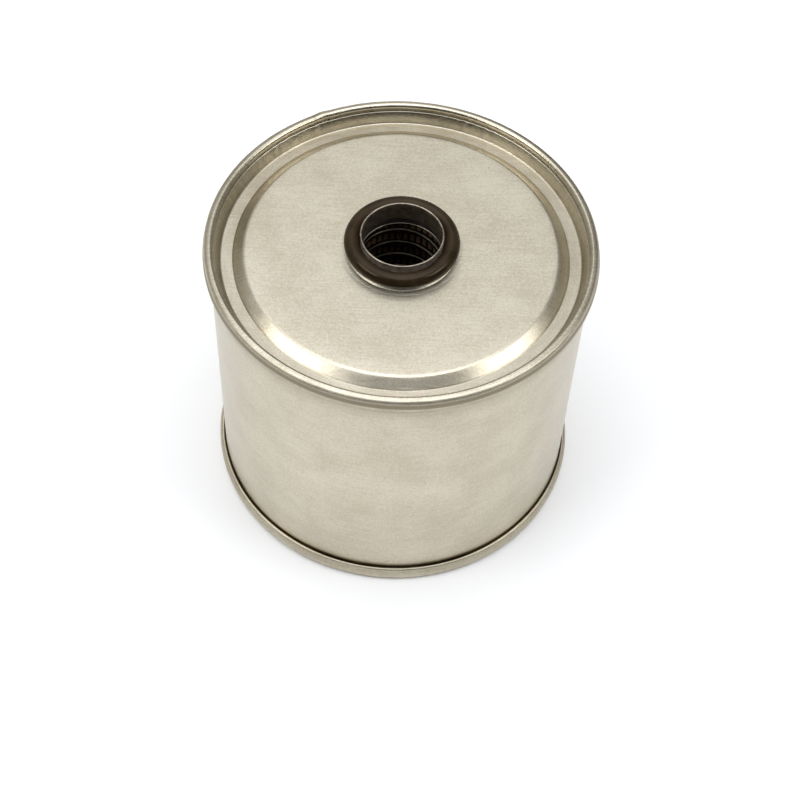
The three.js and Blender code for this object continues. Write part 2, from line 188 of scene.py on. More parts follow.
def new_object(name, vertices, faces, smooth=True):
    mesh = bpy.data.meshes.new(name)
    mesh.from_pydata([tuple(v) for v in vertices], [], faces)
    mesh.polygons.foreach_set("use_smooth", [smooth] * len(mesh.polygons))
    mesh.validate()
    obj = bpy.data.objects.new(name, mesh)
    bpy.context.scene.collection.objects.link(obj)
    bm = bmesh.new()
    bm.from_mesh(mesh)
    bmesh.ops.recalc_face_normals(bm, faces=bm.faces)
    bm.to_mesh(mesh)
    bm.free()
    return obj


def lathe(name, outline, segments=SEGMENTS, warp=None, closed=True):
    """A solid turned from an outline. An open outline starts and ends on the axis.
    warp(angle, radius, height) gives the moved radius and height of every point."""
    profile = np.array([tuple(v) for v in outline], float)
    on_axis = not closed
    ring = profile[1:-1] if on_axis else profile
    count = len(ring)
    angles = np.arange(segments) * 2 * math.pi / segments
    a = np.repeat(angles, count)
    r, z = np.tile(ring[:, 0], segments), np.tile(ring[:, 1], segments)
    if warp is not None:
        r, z = warp(a, r, z)
    vertices = np.stack([r * np.cos(a), r * np.sin(a), z], 1)
    k, j = np.meshgrid(np.arange(segments), np.arange(count if closed else count - 1), indexing="ij")
    k2, j2 = (k + 1) % segments, (j + 1) % count
    quads = np.stack([k * count + j, k2 * count + j, k2 * count + j2, k * count + j2], -1).reshape(-1, 4)
    faces = quads.tolist()
    if on_axis:
        first, last = len(vertices), len(vertices) + 1
        vertices = np.vstack([vertices, [0, 0, profile[0, 1]], [0, 0, profile[-1, 1]]])
        for s in range(segments):
            t = (s + 1) % segments
            faces.append([first, t * count, s * count])
            faces.append([last, s * count + count - 1, t * count + count - 1])
    return new_object(name, vertices, faces)


def swept(name, points, radius, sides, end_round=0.6):
    """A round wire along a line of points, with rounded ends."""
    p = np.array([tuple(v) for v in points], float)
    along = np.gradient(p, axis=0)
    along /= np.linalg.norm(along, axis=1)[:, None]
    side = np.cross(along, [0, 0, 1.0])
    side /= np.linalg.norm(side, axis=1)[:, None]
    over = np.cross(side, along)
    rings = []
    cap = [(-end_round * math.cos(t), math.sin(t)) for t in np.linspace(0.25, math.pi / 2, 4)[:-1]]
    for shift, size in cap:
        rings.append((p[0] + along[0] * shift * radius, along[0], side[0], over[0], size))
    for i in range(len(p)):
        rings.append((p[i], along[i], side[i], over[i], 1.0))
    for shift, size in reversed(cap):
        rings.append((p[-1] - along[-1] * shift * radius, along[-1], side[-1], over[-1], size))
    turns = np.arange(sides) * 2 * math.pi / sides
    vertices = []
    for c, _, s, o, size in rings:
        for t in turns:
            vertices.append(c + radius * size * (s * math.cos(t) + o * math.sin(t)))
    faces = []
    for i in range(len(rings) - 1):
        for j in range(sides):
            n = (j + 1) % sides
            faces.append([i * sides + j, i * sides + n, (i + 1) * sides + n, (i + 1) * sides + j])
    faces.append(list(range(sides))[::-1])
    faces.append([(len(rings) - 1) * sides + j for j in range(sides)])
    return new_object(name, vertices, faces)


def extruded(name, outer, inner, low, high, levels):
    """An upright wall between two closed lines, or a solid where inner is None."""
    outer = [tuple(v) for v in outer]
    inner = [tuple(v) for v in inner] if inner is not None else None
    heights = np.linspace(low, high, levels + 1)
    count = len(outer)
    vertices, faces = [], []
    for z in heights:
        vertices += [(x, y, z) for x, y in outer]
    for i in range(levels):
        for j in range(count):
            n = (j + 1) % count
            faces.append([i * count + j, i * count + n, (i + 1) * count + n, (i + 1) * count + j])
    base = len(vertices)
    if inner is None:
        faces.append(list(range(count))[::-1])
        faces.append([levels * count + j for j in range(count)])
        return new_object(name, vertices, faces, smooth=False)
    for z in heights:
        vertices += [(x, y, z) for x, y in inner]
    for i in range(levels):
        for j in range(count):
            n = (j + 1) % count
            a, b = base + i * count, base + (i + 1) * count
            faces.append([a + n, a + j, b + j, b + n])
    for j in range(count):
        n = (j + 1) % count
        faces.append([j, base + j, base + n, n])
        top = levels * count
        faces.append([top + n, base + top + n, base + top + j, top + j])
    return new_object(name, vertices, faces)


# ------------------------------------------------------------------ materials


class Nodes:
    """Short names for building one material's node tree."""

    def __init__(self, name):
        self.material = bpy.data.materials.new(name)
        self.material.use_nodes = True
        self.tree = self.material.node_tree
        self.shader = self.tree.nodes["Principled BSDF"]

    def add(self, kind, inputs=None, **settings):
        node = self.tree.nodes.new("ShaderNode" + kind)
        for key, value in settings.items():
            setattr(node, key, value)
        for key, value in (inputs or {}).items():
            self.put(node.inputs[key], value)
        return node

    def put(self, socket, value):
        if isinstance(value, bpy.types.NodeSocket):
            self.tree.links.new(value, socket)
        else:
            socket.default_value = value

    def math(self, operation, *values, clamp=False):
        node = self.add("Math", operation=operation, use_clamp=clamp)
        for i, value in enumerate(values):
            self.put(node.inputs[i], value)
        return node.outputs[0]

    def noise(self, vector, scale, detail=3.0, roughness=0.55):
        inputs = {"Vector": vector, "Scale": scale, "Detail": detail, "Roughness": roughness}
        return self.add("TexNoise", inputs).outputs["Fac"]

    def ramp(self, value, low, high, to_low=0.0, to_high=1.0):
        node = self.add("MapRange", {"Value": value, "From Min": low, "From Max": high,
                                     "To Min": to_low, "To Max": to_high}, interpolation_type="SMOOTHSTEP")
        return node.outputs["Result"]

    def mix(self, factor, a, b):
        node = self.add("Mix", data_type="RGBA")
        for i, value in ((0, factor), (6, a), (7, b)):
            self.put(node.inputs[i], value)
        return node.outputs[2]

    def bump(self, height, strength, distance, normal=None):
        inputs = {"Height": height, "Strength": strength, "Distance": distance}
        if normal is not None:
            inputs["Normal"] = normal
        return self.add("Bump", inputs).outputs["Normal"]

    def place(self):
        return self.add("TexCoord").outputs["Object"]

    def cylindrical(self, around):
        """(arc length, radius, height) of a point, the arc length at a radius of `around` metres."""
        x, y, z = self.add("SeparateXYZ", {"Vector": self.place()}).outputs
        angle = self.math("ARCTAN2", y, x)
        radius = self.math("SQRT", self.math("ADD", self.math("MULTIPLY", x, x), self.math("MULTIPLY", y, y)))
        return self.math("MULTIPLY", angle, around), radius, z

    def vector(self, x, y, z):
        return self.add("CombineXYZ", {"X": x, "Y": y, "Z": z}).outputs[0]

    def set(self, **inputs):
        for key, value in inputs.items():
            self.put(self.shader.inputs[key.replace("_", " ")], value)
        return self.material


TIN_LIGHT = (0.63, 0.58, 0.465, 1)
TIN_DARK = (0.48, 0.43, 0.325, 1)
TIN_DULL = (0.52, 0.47, 0.36, 1)
# The darkest tin, used for painted shade and for real marks alike.
TIN_SHADE_AND_MARKS = (0.20, 0.165, 0.11, 1)
TIN_SCRATCH = (0.80, 0.77, 0.68, 1)

# Scratches on the top panel, as the (x, y) of their two ends in mm.
PANEL_SCRATCHES = (
    ((22.8, 16.5), (29.5, 6.4)),
    ((29.5, 6.4), (32.1, -1.5)),
    ((-24.9, -13.9), (-19.8, -22.2)),
)
SCRATCH_WIDTH = 0.13  # mm
SCRATCH_DEPTH = 0.20

# Marks on the shell: the (arc length, height) of both ends and the width, in mm, then the depth of the tint.
WALL_MARKS = (
    ((-112.9, 10.6), (-113.1, 9.2), 0.35, 0.6),
    ((-111.1, 6.6), (-110.6, 5.4), 0.4, 0.7),
    ((-42.3, 38.6), (-38.8, 49.0), 0.14, 0.35),
    ((-133.5, 20.0), (-131.5, 41.0), 0.3, 0.2),
    ((-66.0, 33.0), (-64.5, 32.6), 0.35, 0.4),
    ((-84.0, 57.5), (-83.2, 57.2), 0.35, 0.4),
)


def band(n, value, middle, width):
    """1 where a length is near the middle, falling to 0 at width to each side."""
    return n.ramp(n.math("ABSOLUTE", n.math("SUBTRACT", value, middle)), 0.0, width, 1.0, 0.0)


def tin_finish(n, grain, shade_and_marks, ribs=None, matt=0.0):
    """Tin's mottled bloom, dull spots, fine pits and scratches over a rolling grain.
    The darkening mask darkens the colour from 0 to 1, with painted shade as well as real marks; ribs shape
    the surface, and matt adds to the roughness."""
    place = n.place()
    bloom = n.noise(place, 85.0, 5.0, 0.62)
    speckle = n.noise(place, 2300.0, 2.0, 0.7)
    blotch = n.noise(place, 420.0, 4.0, 0.65)
    tone = n.math("ADD", n.math("MULTIPLY", bloom, 0.33),
                  n.math("ADD", n.math("MULTIPLY", speckle, 0.42), n.math("MULTIPLY", grain, 0.25)))
    colour = n.mix(n.ramp(tone, 0.38, 0.62), TIN_DARK, TIN_LIGHT)
    dull = n.ramp(blotch, 0.58, 0.74, 0.0, 0.35)
    colour = n.mix(dull, colour, TIN_DULL)
    # Painted shade and real marks darken the colour here.
    colour = n.mix(shade_and_marks, colour, TIN_SHADE_AND_MARKS)
    scratch = n.math("MAXIMUM", scratches(n, place, 34.0, 0.35), scratches(n, place, 21.0, -0.9))
    colour = n.mix(n.math("MULTIPLY", scratch, 0.35), colour, TIN_SCRATCH)
    level = n.math("ADD", n.math("MULTIPLY", bloom, 0.5), n.math("MULTIPLY", grain, 0.5))
    rough = n.math("ADD", n.ramp(level, 0.3, 0.7, 0.27, 0.36), matt)
    rough = n.math("ADD", rough, n.math("MULTIPLY", dull, 0.15))
    height = n.math("ADD", n.math("MULTIPLY", grain, 0.2), n.math("MULTIPLY", speckle, 0.6))
    normal = n.bump(height, 0.55, 0.00007)
    normal = n.bump(scratch, 0.25, 0.00003, normal)
    if ribs is not None:
        normal = n.bump(ribs, 0.8, 0.00012, normal)
    return n.set(Base_Color=colour, Metallic=1.0, Roughness=rough, Normal=normal)


def line_mark(n, u, v, start, end, width):
    """1 along a line between two points of the plane (u, v), fading to 0 at width to each side.
    The points and the width are in mm."""
    length = math.dist(start, end)
    along_u, along_v = (end[0] - start[0]) / length, (end[1] - start[1]) / length
    du, dv = n.math("SUBTRACT", u, start[0] * MM), n.math("SUBTRACT", v, start[1] * MM)
    along = n.math("ADD", n.math("MULTIPLY", du, along_u), n.math("MULTIPLY", dv, along_v))
    across = n.math("SUBTRACT", n.math("MULTIPLY", du, along_v), n.math("MULTIPLY", dv, along_u))
    from_middle = n.math("ABSOLUTE", n.math("SUBTRACT", along, length / 2 * MM))
    inside = n.ramp(from_middle, length * 0.3 * MM, (length / 2 + width) * MM, 1.0, 0.0)
    return n.math("MULTIPLY", inside, band(n, across, 0.0, width * MM))


def scratches(n, place, scale, turn):
    """Thin curved lines, broken up so that only short pieces of each one show."""
    mapping = {"Vector": place, "Rotation": (0.3, 0.2, turn), "Scale": (1.0, 0.35, 0.8)}
    turned = n.add("Mapping", mapping).outputs[0]
    lines = n.add("TexWave", {"Vector": turned, "Scale": scale, "Distortion": 5.0, "Detail": 2.0,
                              "Detail Scale": 1.3}, wave_type="BANDS").outputs["Fac"]
    edge = n.ramp(n.math("ABSOLUTE", n.math("SUBTRACT", lines, 0.5)), 0.0, 0.016, 1.0, 0.0)
    patch = n.ramp(n.noise(place, 75.0, 3.0, 0.6), 0.60, 0.66)
    return n.math("MULTIPLY", edge, patch)


def tinplate_flat():
    """Pressed end plates, whose rolling grain runs along X."""
    n = Nodes("tinplate_end")
    x, y, z = n.add("SeparateXYZ", {"Vector": n.place()}).outputs
    grain = n.noise(n.vector(n.math("MULTIPLY", x, 90.0), n.math("MULTIPLY", y, 2400.0), z), 1.0, 4.0, 0.6)
    arc_length, radius, _ = n.cylindrical(CAN_RADIUS)
    spread = n.vector(arc_length, n.math("MULTIPLY", radius, 4.0), n.math("MULTIPLY", z, 3.0))
    streak = n.noise(spread, 160.0, 4.0, 0.6)
    patchy = n.ramp(streak, 0.3, 0.68, 0.45, 1.15)
    # Painted shade in the groove: darker bands in its two corners, over its floor and on the chuck wall.
    corners = n.math("ADD", n.math("MULTIPLY", band(n, radius, GROOVE_OUTER + 0.15 * MM, 0.35 * MM), 0.15),
                     n.math("MULTIPLY", band(n, radius, GROOVE_INNER - 0.1 * MM, 0.3 * MM), 0.35))
    groove_floor_shade = n.math("MULTIPLY", n.ramp(radius, GROOVE_INNER - 0.6 * MM, GROOVE_INNER + 0.3 * MM),
                        n.ramp(radius, GROOVE_OUTER, GROOVE_OUTER + 1.2 * MM, 0.20, 0.0))
    chuck_wall_shade = n.math("MULTIPLY", band(n, radius, CHUCK_MIDDLE + 0.1 * MM, 1.0 * MM), 0.06)
    wall = n.math("ADD", chuck_wall_shade, groove_floor_shade)
    # Painted shade on the outer band of both seams, fading out towards the floor on the bottom seam.
    low = n.math("MULTIPLY", n.ramp(z, 1.2 * MM, 4.6 * MM, 0.0, 0.30), n.ramp(radius, 44.0 * MM, 45.2 * MM))
    # Painted reflection: a dark band round the top seam's outer wall, about 0.75 to 2.35 mm below the crest.
    rolled = n.math("MULTIPLY", n.ramp(z, TOP_Z - 1.15 * MM, TOP_Z - 0.75 * MM, 0.85, 0.0),
                    n.math("MULTIPLY", n.ramp(z, TOP_Z - 2.35 * MM, TOP_Z - 1.9 * MM),
                           n.ramp(radius, CAN_RADIUS - 0.5 * MM, CAN_RADIUS - 0.3 * MM)))
    # The darkening mask: the painted shade and painted reflection above, then the real chuck streaks, lap
    # mark and scratches.
    shade_and_marks = n.math("MULTIPLY", n.math("ADD", n.math("ADD", corners, wall), low), patchy)
    shade_and_marks = n.math("MAXIMUM", shade_and_marks, rolled)
    upright = n.vector(n.math("MULTIPLY", arc_length, 2600.0), 0.0, n.math("MULTIPLY", z, 90.0))
    ribs = n.noise(upright, 1.0, 2.0, 0.5)
    patches = n.ramp(n.noise(n.place(), 38.0, 2.0), 0.40, 0.62)
    zone = n.math("MULTIPLY", band(n, radius, CHUCK_MIDDLE, 1.1 * MM), patches)
    ribs = n.math("MULTIPLY", ribs, zone)
    streaks = n.math("MULTIPLY", n.ramp(ribs, 0.30, 0.75), 0.4)
    shade_and_marks = n.math("MAXIMUM", shade_and_marks, streaks)
    fold_mark = n.math("MULTIPLY", band(n, arc_length, (LAP_ANGLE + 0.05) * CAN_RADIUS, 0.45 * MM),
                       n.ramp(radius, 43.3 * MM, 44.3 * MM, 0.0, 0.6))
    shade_and_marks = n.math("MAXIMUM", shade_and_marks, fold_mark)
    for start, end in PANEL_SCRATCHES:
        mark = n.math("MULTIPLY", line_mark(n, x, y, start, end, SCRATCH_WIDTH), SCRATCH_DEPTH)
        shade_and_marks = n.math("MAXIMUM", shade_and_marks, mark)
    burnish = n.math("SUBTRACT", n.ramp(radius, CAN_RADIUS - 1.0 * MM, CAN_RADIUS - 0.6 * MM, 0.0, 0.26),
                     n.ramp(radius, BODY_RADIUS - 1.0 * MM, BODY_RADIUS - 0.5 * MM, 0.0, 0.09))
    matt = n.math("ADD", n.ramp(radius, BEVEL_TOP - 6 * MM, BEVEL_TOP - 1 * MM, 0.10, 0.0), burnish)
    return tin_finish(n, grain, shade_and_marks, ribs, matt)


def tinplate_wall():
    """The rolled shell, whose grain runs round the can."""
    n = Nodes("tinplate_shell")
    along, radius, z = n.cylindrical(BODY_RADIUS)
    level = n.vector(n.math("MULTIPLY", along, 70.0), radius, n.math("MULTIPLY", z, 2100.0))
    grain = n.noise(level, 1.0, 4.0, 0.6)
    # Painted shade: a dark band just above the bottom seam and a fainter one under the top seam.
    crevice_shade = n.math("ADD", n.ramp(z, SEAM_HEIGHT + 0.2 * MM, SEAM_HEIGHT + 1.6 * MM, 0.95, 0.0),
                     n.ramp(z, TOP_Z - SEAM_HEIGHT - 6.0 * MM, TOP_Z - SEAM_HEIGHT, 0.0, 0.30))
    # Painted shade growing towards the top of the shell; the shell's real marks are added to it below.
    shade = n.math("ADD", crevice_shade, n.ramp(z, 34 * MM, TOP_Z - SEAM_HEIGHT - 4 * MM, 0.0, 0.11))
    for start, end, width, depth in WALL_MARKS:
        mark = n.math("MULTIPLY", line_mark(n, along, z, start, end, width), depth)
        shade = n.math("MAXIMUM", shade, mark)
    return tin_finish(n, grain, shade)


def neck_tin():
    """The outlet tube: tin outside and on its rim, painted near black inside as shade."""
    n = Nodes("neck_tube")
    _, radius, z = n.cylindrical(NECK_RADIUS)
    # Painted shade: the inner wall is coloured near black and made less metallic.
    inside = n.ramp(radius, NECK_RADIUS - NECK_WALL * 0.93, NECK_RADIUS - NECK_WALL * 0.80, 1.0, 0.0)
    tone = n.noise(n.place(), 700.0, 4.0, 0.6)
    metal = n.mix(n.ramp(tone, 0.3, 0.7), (0.22, 0.185, 0.14, 1), (0.40, 0.35, 0.28, 1))
    inner_shade = n.mix(n.ramp(tone, 0.35, 0.7), (0.050, 0.040, 0.026, 1), (0.085, 0.068, 0.045, 1))
    colour = n.mix(inside, metal, inner_shade)
    below = n.ramp(z, NECK_TOP - 0.5 * MM, NECK_TOP - 0.2 * MM, 0.35, 1.0)
    metallic = n.math("MULTIPLY", below, n.math("SUBTRACT", 1.0, n.math("MULTIPLY", inside, 0.7)))
    return n.set(Base_Color=colour, Metallic=metallic, Roughness=n.ramp(tone, 0.3, 0.7, 0.26, 0.42),
                 Normal=n.bump(tone, 0.3, 0.00005))


def steel_wire(name, light, dark, roughness):
    n = Nodes(name)
    tone = n.noise(n.place(), 400.0, 4.0, 0.6)
    colour = n.mix(n.ramp(tone, 0.3, 0.7), dark, light)
    rough = n.ramp(tone, 0.3, 0.7, roughness - 0.06, roughness + 0.08)
    return n.set(Base_Color=colour, Metallic=1.0, Roughness=rough, Normal=n.bump(tone, 0.2, 0.00004))


def rubber(name, colour, worn, roughness):
    n = Nodes(name)
    cloud = n.noise(n.place(), 180.0, 4.0, 0.6)
    grain = n.noise(n.place(), 5200.0, 2.0, 0.5)
    mixed = n.mix(n.ramp(cloud, 0.35, 0.7), colour, worn)
    rough = n.ramp(cloud, 0.3, 0.7, roughness - 0.05, roughness + 0.08)
    n.set(Base_Color=mixed, Metallic=0.0, Roughness=rough, Normal=n.bump(grain, 0.25, 0.00003))
    return n.set(Specular_IOR_Level=0.2, Specular_Tint=(1.0, 0.82, 0.62, 1))


def paper():
    n = Nodes("filter_paper")
    fibres = n.noise(n.place(), 1500.0, 5.0, 0.7)
    stain = n.noise(n.place(), 120.0, 3.0, 0.5)
    colour = n.mix(n.ramp(fibres, 0.3, 0.7), (0.075, 0.044, 0.026, 1), (0.11, 0.064, 0.037, 1))
    colour = n.mix(n.ramp(stain, 0.35, 0.7, 0.0, 0.4), colour, (0.07, 0.032, 0.017, 1))
    return n.set(Base_Color=colour, Roughness=0.85, Normal=n.bump(fibres, 0.5, 0.0001))


def resin(name, light, dark):
    n = Nodes(name)
    cloud = n.noise(n.place(), 250.0, 4.0, 0.55)
    colour = n.mix(n.ramp(cloud, 0.3, 0.7), dark, light)
    rough = n.ramp(cloud, 0.3, 0.7, 0.4, 0.6)
    return n.set(Base_Color=colour, Roughness=rough, Normal=n.bump(cloud, 0.4, 0.0003))


# ------------------------------------------------------------------ can


def shoulder(centre, radius, depth):
    """The roll over the crest, from a steep shoulder on the outside to the chuck wall on the inside."""
    top = depth - radius
    inner = 0.6 * MM
    foot = (centre + radius, HOOK_END - 0.5 * MM, 0)
    flank = (centre + radius, top + 1.80 * MM, 2.4 * MM)
    slope = (centre + 0.80 * MM, top + 0.80 * MM, 1.9 * MM)
    brow = (centre + 0.46 * MM, top + 0.13 * MM, 0.9 * MM)
    turn_in = (centre - radius + inner, top, 0)
    rounded = fillet([foot, flank, slope, brow, turn_in], steps=10)
    return rounded[:-1] + arc(centre - radius + inner, top + inner, inner, -92, -180, 12)


def seam_middle():
    """The middle line of an end plate in (radius, depth below the crest), from its hook to the panel."""
    hook = BODY_RADIUS + FOLD_GAP + PLATE / 2
    wall = CAN_RADIUS - PLATE / 2
    chuck = BODY_RADIUS - PLATE - FOLD_GAP - PLATE / 2
    fold = (wall - SEAM_TUCK - hook) / 2
    fold_depth = SEAM_HEIGHT - fold - PLATE / 2
    crest = (wall - chuck) / 2
    crest_depth = crest + PLATE / 2
    half = PLATE / 2
    tuck = fillet([(hook + 2 * fold, fold_depth, 0), (hook + 2 * fold, fold_depth - 0.25 * MM, 0.5 * MM),
                   (wall, HOOK_END - 0.2 * MM, 1.2 * MM), (wall, HOOK_END - 0.45 * MM, 0)])
    ledge_width, ledge_corner = 0.24 * MM, 0.08 * MM
    ledge_top, ledge_foot = crest_depth + 0.78 * MM, crest_depth + 0.90 * MM
    press = fillet([(chuck, crest_depth, 0), (chuck, ledge_top, ledge_corner),
                    (chuck - ledge_width, ledge_foot, ledge_corner),
                    (GROOVE_OUTER + 0.1 * MM, GROOVE_DEPTH + half, 0.7 * MM),
                    (GROOVE_INNER, GROOVE_DEPTH + half, 0.45 * MM),
                    (BEVEL_TOP, PANEL_DEPTH + half, 1.3 * MM),
                    (PANEL_JOIN, PANEL_DEPTH + half, 0)], steps=8)
    return ([Vector((hook, END_HOOK_TIP))]
            + arc(hook + fold, fold_depth, fold, 180, 0, 10)
            + tuck[1:-1]
            + shoulder((wall + chuck) / 2, crest, crest_depth)
            + press[1:-1])


def lap(angle, width):
    """1 on the shell's side weld, falling to 0 at width metres of arc to each side."""
    away = np.abs((angle - LAP_ANGLE + math.pi) % (2 * math.pi) - math.pi) * BODY_RADIUS
    near = np.clip(1 - away / width, 0, 1)
    return near ** 2 * (3 - 2 * near)


def wobble(angle, height, amount, seed):
    """A slow unevenness of rolled plate, as a length."""
    total = np.zeros_like(angle)
    rng = np.random.default_rng(seed)
    for waves in (2, 3, 5, 7, 11):
        phase, tilt = rng.uniform(0, 2 * math.pi), rng.uniform(-60, 60)
        total += np.sin(waves * angle + phase + tilt * height) / waves
    return amount * total


def chatter(angle):
    """The seaming chuck's marks: short ribs, strongest on three stretches of the wall."""
    patches = sum(np.exp(-((((angle - math.radians(at) + math.pi) % (2 * math.pi)) - math.pi) / width) ** 2)
                  for at, width in ((68, 0.28), (128, 0.22), (250, 0.3)))
    ribs = np.sin(angle * 97) + 0.7 * np.sin(angle * 141 + 2) + 0.5 * np.sin(angle * 61 + 1)
    return (0.25 + patches) * ribs


def end_warp(crest_z, inward):
    """The unevenness of an end plate. inward is the way along Z into the can, 1 or -1."""
    def warp(angle, radius, height):
        outer = np.clip((radius - GROOVE_OUTER) / (CAN_RADIUS - GROOVE_OUTER), 0, 1)
        depth = abs(crest_z - height)
        bulge = lap(angle, 2.6 * MM) * outer
        panel = np.clip((BEVEL_TOP - radius) / (5 * MM), 0, 1)
        chuck = np.clip(1 - np.abs(radius - CHUCK_MIDDLE) / (1.2 * MM), 0, 1) * (depth > 1.6 * MM)
        r = radius + bulge * 0.22 * MM + outer * wobble(angle, height, 0.03 * MM, 3)
        r = r + chuck * chatter(angle) * 0.05 * MM
        ripple = np.sin(angle * 3 + 1.1) * np.cos(radius * 130 + 0.4) * 0.02 * MM
        z = height - inward * bulge * 0.12 * MM + panel * ripple
        return r, z
    return warp


def top_end():
    middle = [Vector((p.x, TOP_Z - p.y)) for p in seam_middle()]
    centre = PANEL_Z - PLATE / 2
    middle += fillet([(PANEL_JOIN, centre, 0), (SEAT_RADIUS + 1.5 * MM, centre, 3.0 * MM),
                      (SEAT_RADIUS + 0.1 * MM, centre + 0.3 * SEAT_RISE, 0.8 * MM),
                      (SEAT_RADIUS - 0.25 * MM, centre + SEAT_RISE, 0.15 * MM),
                      (NECK_RADIUS + 0.3 * MM, centre + SEAT_RISE, 0)])
    return lathe("top_end_plate", sheet(even(middle, PLATE_STEP), PLATE), warp=end_warp(TOP_Z, -1))


def bottom_end():
    centre = PANEL_DEPTH + PLATE / 2
    middle = seam_middle() + fillet([
        (PANEL_JOIN, centre, 0), (BOSS_RADIUS + BOSS_SLOPE / 2, centre, 0.9 * MM),
        (BOSS_RADIUS - BOSS_SLOPE / 2, centre + BOSS_RISE, 0.8 * MM), (0, centre + BOSS_RISE, 0)])
    middle = even(middle, PLATE_STEP)
    upper, lower = offset(middle, -PLATE / 2), offset(middle, PLATE / 2)
    tip = middle[0]
    cap = [tip + PLATE / 2 * Vector((math.cos(t), math.sin(t))) for t in np.linspace(0, -math.pi, 5)[1:-1]]
    outline = upper[::-1] + cap + lower
    outline[0].x = outline[-1].x = 0
    plate = lathe("bottom_end_plate", outline, warp=end_warp(0, 1), closed=False)
    drills = []
    corners = [(0, 0), (INLET_RADIUS, 0), (INLET_RADIUS, DRILL_HEIGHT), (0, DRILL_HEIGHT)]
    for k in range(INLET_HOLES):
        turn = (k + 0.5) * 2 * math.pi / INLET_HOLES
        drill = lathe("drill", [Vector(corner) for corner in corners], segments=48, closed=False)
        drill.location = (INLET_CIRCLE * math.cos(turn), INLET_CIRCLE * math.sin(turn), 0)
        drills.append(drill)
    cut_holes(plate, drills)
    return plate


def cut_holes(obj, tools):
    bpy.context.view_layer.update()
    for tool in tools:
        cut = obj.modifiers.new("hole", "BOOLEAN")
        cut.operation, cut.object, cut.solver = "DIFFERENCE", tool, "EXACT"
    evaluated = obj.evaluated_get(bpy.context.evaluated_depsgraph_get())
    mesh = bpy.data.meshes.new_from_object(evaluated)
    obj.modifiers.clear()
    obj.data = mesh
    mesh.polygons.foreach_set("use_smooth", [True] * len(mesh.polygons))
    mesh.set_sharp_from_angle(angle=math.radians(50))
    for tool in tools:
        bpy.data.objects.remove(tool)


def can_body():
    shell = BODY_RADIUS - PLATE / 2
    hook = BODY_RADIUS + FOLD_GAP + PLATE + FOLD_GAP + PLATE / 2
    fold = (hook - shell) / 2
    depth = PLATE + COMPOUND_THICKNESS + 2 * FOLD_GAP + PLATE / 2 + fold
    top = arc(shell + fold, TOP_Z - depth, fold, 180, 0, 10) + [Vector((hook, TOP_Z - HOOK_END))]
    low = [Vector((hook, HOOK_END))] + arc(shell + fold, depth, fold, 0, -180, 10)
    middle = even(low + top, 1.5 * MM)

    def warp(angle, radius, height):
        ends = np.clip(np.minimum(height, TOP_Z - height) / (6 * MM) - 0.7, 0, 1)
        weld = lap(angle, 2.2 * MM)
        r = radius + weld * 0.16 * MM * ends + ends * wobble(angle, height, 0.05 * MM, 8)
        return r, height
    return lathe("can_shell", sheet(middle, PLATE), warp=warp)


def compound(name, crest_z, inward):
    """The lining ring behind a crest. inward is the way along Z into the can, 1 or -1."""
    centre_r = CAN_RADIUS - PLATE / 2 - 1.0 * MM
    near = crest_z + inward * (PLATE + FOLD_GAP)
    far = crest_z + inward * (PLATE + FOLD_GAP + COMPOUND_THICKNESS)
    narrow, wide, corner = 0.3 * MM, 0.5 * MM, 0.1 * MM
    outline = fillet([(centre_r, near, 0), (centre_r + narrow, near, corner), (centre_r + wide, far, corner),
                      (centre_r - wide, far, corner), (centre_r - narrow, near, corner),
                      (centre_r, near, 0)], steps=3)[:-1]
    return lathe(name, outline, segments=144)


# ------------------------------------------------------------------ neck and seals


def outlet_neck():
    flange = NECK_LOW.z + NECK_WALL / 2
    wall = NECK_RADIUS - NECK_WALL / 2
    edge = NECK_HIGH.x - 0.05 * MM
    middle = fillet([(edge, flange, 0), (wall, flange, 0.45 * MM), (wall, NECK_TOP - 1.2 * MM, 2 * MM),
                     (wall + 0.06 * MM, NECK_TOP - NECK_WALL / 2, 0)])
    return lathe("outlet_neck_tube", sheet(even(middle, 0.6 * MM), NECK_WALL, cap_steps=8), segments=160)


def neck_seal():
    low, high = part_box("neck_seal")
    radius = (high.z - low.z) / 2
    centre_r, centre_z = NECK_RADIUS + SEAL_FIT + radius, (high.z + low.z) / 2
    outline = arc(centre_r, centre_z, radius, 0, 360, 56)[:-1]

    def warp(angle, r, z):
        flash = np.exp(-(((z - centre_z) / (0.10 * MM)) ** 2)) * (r > centre_r) * 0.02 * MM
        return r + flash, z
    return lathe("neck_o_ring", outline, segments=192, warp=warp)


def washer(name, inner, outer, low, high, corner):
    """A flat ring between two radii and two heights, with rounded corners."""
    start = ((inner + outer) / 2, low, 0)
    return lathe(name, fillet([
        start, (outer, low, corner), (outer, high, corner), (inner, high, corner),
        (inner, low, corner), start], steps=4)[:-1], segments=128)


def gasket():
    low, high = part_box("neck_gasket")
    return washer("neck_gasket_washer", GASKET_INNER, GASKET_OUTER, low.z, high.z, 0.25 * MM)


# ------------------------------------------------------------------ element


def top_disc():
    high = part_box("top_end_disc")[1]
    mid, rim = high.z - DISC_PLATE / 2, high.x - DISC_PLATE / 2
    path = [(rim, high.z - DISC_SKIRT, 0), (rim, mid, DISC_CORNER), (DISC_HOLE + 0.2 * MM, mid, 0)]
    return lathe("top_disc", sheet(even(fillet(path), 2 * MM), DISC_PLATE), segments=192)


